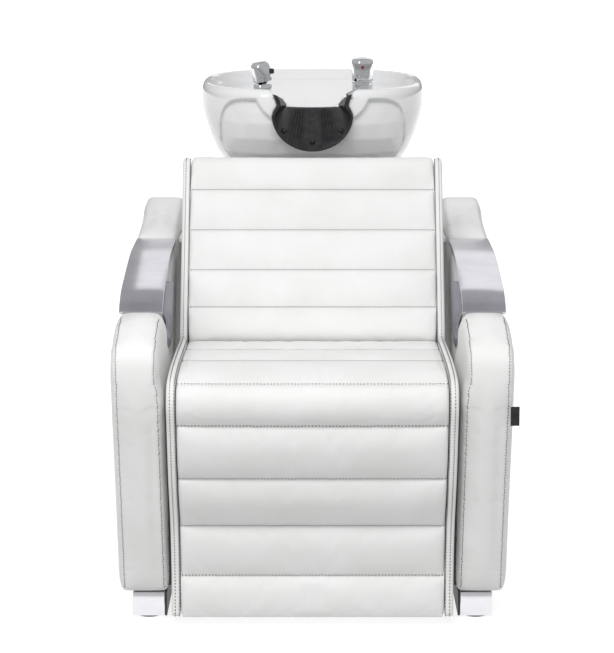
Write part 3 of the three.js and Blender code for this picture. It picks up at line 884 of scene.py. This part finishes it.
def bevelled_box(name, node, width, material, body):
    low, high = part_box(node)
    vertices = [(x, y, z) for z in (low.z, high.z) for y in (low.y, high.y) for x in (low.x, high.x)]
    faces = [(0, 1, 3, 2), (4, 5, 7, 6), (0, 1, 5, 4), (2, 3, 7, 6), (0, 2, 6, 4), (1, 3, 7, 5)]
    piece = new_piece(name, vertices, faces, material, body, smooth=False)
    bevel(piece, width, 3)
    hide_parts(node)


def add_feet():
    for end in ("front", "rear"):
        for side in ("left", "right"):
            bevelled_box(f"polished_foot_{end}_{side}", f"foot_{end}_{side}", 0.0012, FOOT_METAL, "frame")


# ---------------------------------------------------------------- ceramic basin

RIM_Z = 0.981
RIM_RISE = 0.012
BASIN_BOTTOM = 0.778
PIVOT_Y = 0.35
SQUARENESS = 2.7
OUTER_RINGS = [(778, 124, 906, 1124), (780, 136, 894, 1136), (784, 151, 878, 1152), (795, 178, 852, 1184),
               (815, 198, 818, 1216), (838, 212, 790, 1242), (872, 226, 764, 1270), (907, 237, 749, 1290),
               (930, 242, 746, 1296), (955, 243, 745, 1300), (968, 242, 746, 1299), (977, 238, 750, 1295),
               (981, 231, 757, 1288)]
SHELF_RINGS = [(957, 212, 778, 1270), (961, 218, 771, 1277), (970, 221, 768, 1280), (978, 224, 764, 1283),
               (1010, 226, 762, 1286)]
HOLLOW_RINGS = [(803, 50, 1035, 1135), (806, 85, 1008, 1152), (814, 118, 980, 1170), (840, 165, 925, 1200),
                (880, 193, 885, 1228), (925, 207, 864, 1250), (948, 210, 858, 1266), (1010, 214, 856, 1272)]
NOTCH_FRONT = {"station": 745, "half": 87, "floor": 850, "spring": 924, "horn": 968}
NOTCH_REAR = {"station": 850, "half": 64, "floor": 925, "spring": 950, "horn": 955}
REST_REAR = {"station": 850, "half": 64, "floor": 928, "spring": 936, "horn": 939}
DISH_SIDE, DISH_SIDE_REACH = 0.130, 0.068       # outwards of this, a dish ends over this reach
DISH_HEIGHT, DISH_UP_REACH = 0.878, 0.080       # the same upwards
NOTCH_SHOULDER = 0.118              # inwards of this, the dishes' upper edge dips under the notch
BASIN_VOXEL = 0.0028
HORN_ANGLE = 0.30                   # the neck rest climbs its horns over this extra angle


def basin_ring(row, sides=112):
    height, half, front, rear = row
    angles = np.linspace(0, math.tau, sides, endpoint=False)
    power = 2 / SQUARENESS
    x = half * np.sign(np.cos(angles)) * np.abs(np.cos(angles)) ** power
    along = np.sign(np.sin(angles)) * np.abs(np.sin(angles)) ** power
    station = (front + rear) / 2 + along * (rear - front) / 2
    y = FRONT_Y + station / 1000
    share = (height / 1000 - BASIN_BOTTOM) / (RIM_Z - BASIN_BOTTOM)
    z = height / 1000 + RIM_RISE * (y - PIVOT_Y) * share
    return list(zip(x / 1000, y, z))


def notch_at(station, rear=None):
    rear = rear or NOTCH_REAR
    t = (station - NOTCH_FRONT["station"]) / (rear["station"] - NOTCH_FRONT["station"])
    section = {key: NOTCH_FRONT[key] + t * (rear[key] - NOTCH_FRONT[key]) for key in NOTCH_FRONT}
    section["front"] = min(1, max(0, 1 - t))
    return section


def notch_point(angle, station, inset=0.0, rear=None):
    n = notch_at(station, rear)
    half, floor = n["half"] - inset, n["floor"] + inset
    x = half * math.cos(angle)
    z = n["spring"] - (n["spring"] - floor) * math.sin(angle)
    return (x / 1000, FRONT_Y + station / 1000, z / 1000)


def notch_side(n, height):
    """Half width of the notch at a height above its arch: drawn in a little, then flared into the rim."""
    hook, bend = 11 * n["front"], n["spring"] + 4 + 15 * n["front"]
    if height < bend:
        return n["half"] - hook * (height - n["spring"]) / (bend - n["spring"])
    radius = RIM_Z * 1000 + 1 - bend
    reach = min(height - bend, radius)
    return n["half"] - hook + radius - math.sqrt(radius ** 2 - reach ** 2)


def notch_ring(station):
    """The whole section that is cut from the rim down to the bottom of the notch."""
    n = notch_at(station)
    bend = n["spring"] + 4 + 15 * n["front"]
    top = RIM_Z * 1000 + 1
    heights = list(np.linspace(n["spring"] + 3, bend, 4))
    heights += [bend + (top - bend) * math.sin(a) for a in np.linspace(0.12, 0.98, 9) * math.pi / 2]
    side = [(notch_side(n, height) / 1000, FRONT_Y + station / 1000, height / 1000) for height in heights]
    last = side[-1]
    side += [(last[0] + 0.006, last[1], RIM_Z + 0.0012), (last[0] + 0.010, last[1], 1.03)]
    arch = [notch_point(angle, station) for angle in np.linspace(0, math.pi, 28)]
    left = [(-x, y, z) for x, y, z in side]
    return side[::-1] + arch + left


def cut(piece, tool):
    modifier = piece.modifiers.new("cut", "BOOLEAN")
    modifier.operation = "DIFFERENCE"
    modifier.solver = "EXACT"
    modifier.object = tool
    bake(piece)
    bpy.data.objects.remove(tool)


def tool(name, rings):
    return swept(name, rings, CERAMIC, "bowl", smooth=False)


def press_dishes(basin):
    """Presses the two shoulder dishes, which join under the notch, into the basin's front wall."""
    points = points_of(basin)
    normals = np.zeros(len(points) * 3)
    basin.data.vertices.foreach_get("normal", normals)
    facing = smooth_step(0.05, 0.45, -normals.reshape(-1, 3)[:, 1])
    side, height = np.abs(points[:, 0]), points[:, 2]
    outer = np.clip((side - DISH_SIDE) / DISH_SIDE_REACH, 0, None)
    inner = np.clip((NOTCH_SHOULDER - side) / 0.040, 0, None)
    upper = np.clip((height - DISH_HEIGHT) / DISH_UP_REACH, 0, None) * (1 + 1.2 * inner)
    reach = (outer ** 3 + upper ** 3) ** (1 / 3)
    depth = 0.006 + 0.011 * np.clip((height - 0.84) / 0.117, 0, 1)
    before_deck = 1 - smooth_step(0.855, 0.875, points[:, 1] - FRONT_Y)
    points[:, 1] += depth * facing * before_deck * (1 - smooth_step(0.92, 1.03, reach))
    set_points(basin, points)


def add_basin():
    basin = tool("ceramic_basin", [basin_ring(row) for row in OUTER_RINGS])
    cut(basin, tool("shelf", [basin_ring(row) for row in SHELF_RINGS]))
    cut(basin, tool("hollow", [basin_ring(row) for row in HOLLOW_RINGS]))
    cut(basin, tool("notch", [notch_ring(s) for s in (700, 745, 772, 798, 824, 850, 868)]))
    melt(basin, BASIN_VOXEL, 8)
    press_dishes(basin)
    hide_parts("bowl_basin")


def add_neck_rest():
    """A pleated rubber saddle that lines the notch and folds over its front edge."""
    around = np.linspace(-HORN_ANGLE, math.pi + HORN_ANGLE, 260)
    stations = np.linspace(740, 850, 22)
    rings = []
    for angle in around:
        pleat = pleat_height(angle)
        upper, lower = [], []
        for station in stations:
            end = min(station - stations[0], stations[-1] - station)
            roll = 3.5 * max(0.0, 1 - end / 6) ** 2
            upper.append(horn_point(angle, station, 9.2 - roll + pleat * min(1, end / 14)))
            lower.append(horn_point(angle, station, 1.4 + roll * 0.6))
        rings.append(upper + lower[::-1])
    rest = swept("neck_rest_saddle", rings, RUBBER, "bowl")
    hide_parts("neck_rest")
    for name in ("left", "centre", "right"):
        stud(name)


def pleat_height(angle):
    """Pleats stand up in two fans, left and right of a smooth middle."""
    from_middle = abs(angle - math.pi / 2)
    fan = math.exp(-((from_middle - 0.52) / 0.30) ** 4)
    return 2.2 * fan * math.cos(from_middle * 62)


def horn_point(angle, station, inset):
    """Points past the arch's springs climb straight up its horns."""
    if 0 <= angle <= math.pi:
        return notch_point(angle, station, inset, REST_REAR)
    n = notch_at(station, REST_REAR)
    over = -angle if angle < 0 else angle - math.pi
    side = 1 if angle < 0 else -1
    z = n["spring"] + (n["horn"] - n["spring"]) * over / HORN_ANGLE
    return (side * (notch_side(n, z) - inset) / 1000, FRONT_Y + station / 1000, z / 1000)


def stud(name):
    low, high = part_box("neck_stud_" + name)
    centre = (low + high) / 2
    outward = Vector((-centre.x * 1.4, -0.04, 0.05)).normalized()
    profile = [(0.0, 0.0045), (0.0035, 0.0042), (0.0050, 0.0030), (0.0055, 0.0012), (0.0056, -0.003),
               (0.0, -0.003)]
    knob = lathe("neck_stud_cap_" + name, profile, centre, RUBBER, "bowl", sides=28, axis=outward)
    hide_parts("neck_stud_" + name)


def lathe(name, profile, origin, material, body, sides=56, axis=(0, 0, 1)):
    """A turned piece: its (radius, height) profile runs from axis to axis, or closes on itself."""
    turn = Vector(axis).to_track_quat("Z", "Y")
    origin = Vector(origin)
    closed = profile[0] == profile[-1]
    points = profile[:-1] if closed else profile
    vertices, rings = [], []
    for radius, height in points:
        if radius < 1e-9:
            rings.append([len(vertices)] * sides)
            vertices.append(origin + turn @ Vector((0, 0, height)))
            continue
        rings.append(list(range(len(vertices), len(vertices) + sides)))
        for k in range(sides):
            a = math.tau * k / sides
            vertices.append(origin + turn @ Vector((radius * math.cos(a), radius * math.sin(a), height)))
    faces = []
    pairs = list(zip(rings, rings[1:])) + ([(rings[-1], rings[0])] if closed else [])
    for lower, upper in pairs:
        for k in range(sides):
            face = (lower[k], lower[(k + 1) % sides], upper[(k + 1) % sides], upper[k])
            corners = tuple(dict.fromkeys(face))
            if len(corners) > 2:
                faces.append(corners)
    piece = new_piece(name, vertices, faces, material, body)
    piece.data.set_sharp_from_angle(angle=math.radians(40))
    return piece


# ---------------------------------------------------------------- taps

TAP_Y = (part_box("mixer_handle")[0].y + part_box("mixer_handle")[1].y) / 2
TAP_X = (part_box("mixer_handle")[0].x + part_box("mixer_handle")[1].x) / 2
SHELF_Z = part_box("mixer_body")[0].z
TAP_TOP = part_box("mixer_handle")[1].z
SHOWER_FOOT_Z = 0.989               # where the shower head rests on its holder


def add_mixer():
    base_profile = [(0, 0), (0.024, 0), (0.024, 0.0022), (0.0225, 0.0036), (0.0212, 0.0045), (0.0212, 0.0172),
                    (0.0202, 0.0184), (0, 0.0186)]
    body = lathe("mixer_base_skin", base_profile, (TAP_X, TAP_Y, SHELF_Z), CHROME, "bowl")
    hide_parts("mixer_body")
    outlet_profile = [(0, 0), (0.0052, 0), (0.0052, 0.019), (0.0046, 0.0215), (0.0030, 0.0222),
                      (0.0030, 0.016), (0, 0.016)]
    outlet_root = (TAP_X - 0.0155, TAP_Y - 0.009, SHELF_Z + 0.0125)
    lathe("mixer_outlet", outlet_profile, outlet_root, CHROME, "bowl", sides=28,
          axis=(-0.75, -0.48, -0.35))
    collar_profile = [(0, 0), (0.0212, 0), (0.022, 0.0008), (0.022, 0.0046), (0.0208, 0.0054),
                      (0.0208, 0.0066), (0.022, 0.0074), (0.022, 0.0106), (0.0212, 0.0114), (0.008, 0.0114),
                      (0.008, 0.041), (0, 0.041)]
    collar_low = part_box("mixer_collar")[0].z
    collar = lathe("mixer_collar_skin", collar_profile, (TAP_X, TAP_Y, collar_low), CHROME, "mixer_collar")
    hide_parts("mixer_collar")
    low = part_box("mixer_handle")[0].z
    tall = TAP_TOP - low
    cap_profile = [(0, tall - 0.004), (0.018, tall - 0.004), (0.0195, tall - 0.010), (0.0195, 0.0),
                   (0.0222, 0.0), (0.0230, 0.0010), (0.0230, 0.0085), (0.0218, 0.0095), (0.0218, 0.0110),
                   (0.0230, 0.0120), (0.0232, tall - 0.012), (0.0222, tall - 0.0045),
                   (0.0190, tall - 0.0012), (0.0120, tall), (0, tall)]
    cap = lathe("mixer_cap_skin", cap_profile, (TAP_X, TAP_Y, low), CHROME, "mixer_handle")
    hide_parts("mixer_handle")
    dot_profile = [(0, 0.0012), (0.0026, 0.0010), (0.0034, 0.0), (0.0034, -0.002), (0, -0.002)]
    dot = (TAP_X, TAP_Y - 0.0231, low + tall * 0.62)
    lathe("mixer_index_dot", dot_profile, dot, INDEX, "mixer_handle", sides=28, axis=(0, -1, 0))


def add_hand_shower():
    holder_profile = [(0.013, 0), (0.023, 0), (0.023, 0.0022), (0.0205, 0.0042), (0.018, 0.0060),
                      (0.018, 0.0150), (0.0195, 0.0165), (0.0195, 0.0240), (0.0182, 0.0262), (0.0145, 0.0262),
                      (0.013, 0.0245), (0.013, 0)]
    holder = lathe("shower_holder_skin", holder_profile, (-TAP_X, TAP_Y, SHELF_Z), CHROME, "bowl")
    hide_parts("shower_holder")
    head_profile = [(0, -0.026), (0.0075, -0.026), (0.0080, -0.025), (0.0080, -0.004), (0.0120, -0.0015),
                    (0.0185, 0.0), (0.0198, 0.0014), (0.0198, 0.0085), (0.0188, 0.0095), (0.0188, 0.0110),
                    (0.0200, 0.0120), (0.0203, 0.0300), (0.0190, 0.0375), (0.0160, 0.0412), (0.0145, 0.0424),
                    (0.0135, 0.0404), (0, 0.0404)]
    lean = Vector((-0.16, 0, 1)).normalized()
    head = lathe("hand_shower_skin", head_profile, (-TAP_X, TAP_Y, SHOWER_FOOT_Z), CHROME, "hand_shower",
                 axis=lean)
    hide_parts("hand_shower")
    low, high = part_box("shower_button")
    centre = (low + high) / 2
    button_profile = [(0, 0.0056), (0.0042, 0.0050), (0.0056, 0.0034), (0.0058, 0.0), (0.0058, -0.0035),
                      (0, -0.0035)]
    button = lathe("shower_button_skin", button_profile, (high.x - 0.0035, centre.y, centre.z), RUBBER,
                   "shower_button", sides=32, axis=(1, 0, 0))
    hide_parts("shower_button")


# ---------------------------------------------------------------- CAD nodes that keep their shape

def dress(material, *nodes):
    for name in nodes:
        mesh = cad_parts[name].data
        mesh.materials.clear()
        mesh.materials.append(material)


def dress_frame():
    dress(PLYWOOD, "seat_board", "front_board", "front_bulkhead", "rear_bulkhead")
    dress(LEATHER, "back_board")
    dress(POWDER_COAT, "side_rail_left", "side_rail_right", "back_upright_left", "back_upright_right",
          "front_crossbar", "middle_crossbar", "plinth_left", "plinth_right", "pedestal_plate",
          "pedestal_column", "tilt_yoke", "bowl_carrier", "waste_clamp", "valve_bracket")
    dress(CHROME, "tilt_pin", "drain_flange", "drain_strainer", "door_hinge_barrel", "door_latch")
    dress(RUBBER, "glide_front_left", "glide_front_right", "glide_rear_left", "glide_rear_right")
    dress(BLACK_PLASTIC, "tilt_lock_lever", "valve_handle_hot", "valve_handle_cold")
    dress(BRASS, "valve_body_hot", "valve_body_cold")
    dress(PIPE_PLASTIC, "waste_pipe", "drain_tailpiece")
    dress(PANEL, "service_deck", "rear_door")


add_camera()
add_lights()
add_world()
add_floor()
add_pads()
add_sides()
add_feet()
add_basin()
add_neck_rest()
add_mixer()
add_hand_shower()
dress_frame()
bpy.context.scene.view_settings.view_transform = "Standard"
